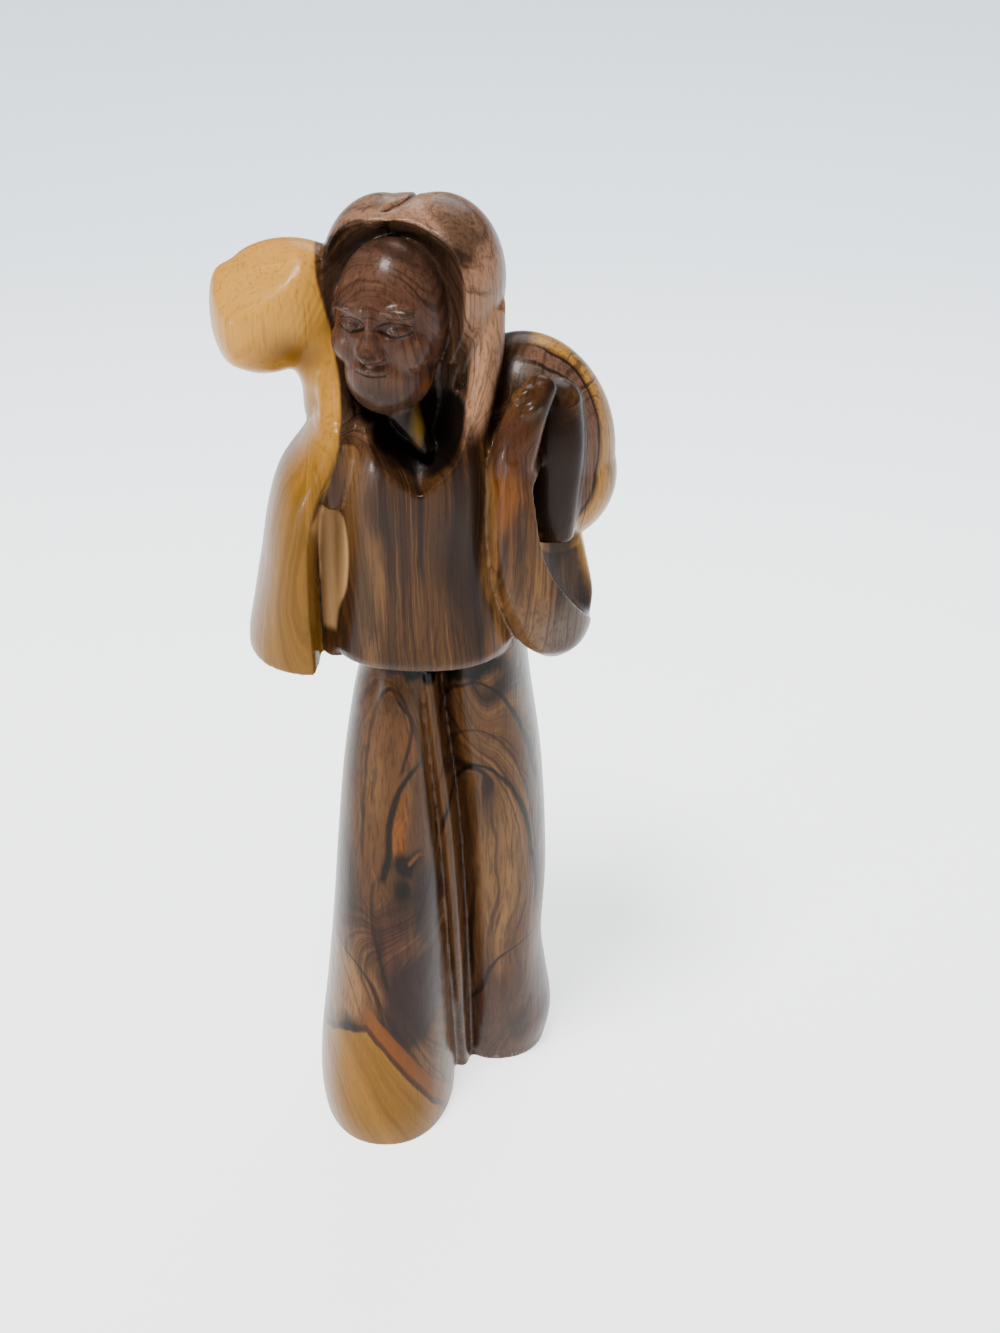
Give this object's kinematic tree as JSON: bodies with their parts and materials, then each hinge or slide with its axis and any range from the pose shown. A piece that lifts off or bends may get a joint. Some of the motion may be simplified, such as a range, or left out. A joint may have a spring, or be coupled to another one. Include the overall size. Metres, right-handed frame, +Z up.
{
  "type": "good shepherd figurine",
  "caption": "Carved olive wood figurine of a standing robed shepherd with a lamb across the shoulders, resting on its own flat underside.",
  "frame": {"origin": "centre of the box round the figure, on the flat underside that it stands on", "axes": "+Z up along the figure's height, -Y the way the figure faces, +X to the figure's left hand"},
  "size_m": [0.0566, 0.041, 0.1635],
  "materials": {
    "olive_wood": "glossy clear lacquer over streaked brown heartwood, with honey yellow sapwood at the lamb's head, one sleeve and the forward toe"
  },
  "bodies": {
    "root": {"shepherd_and_lamb": "olive_wood"}
  },
  "joints": []
}
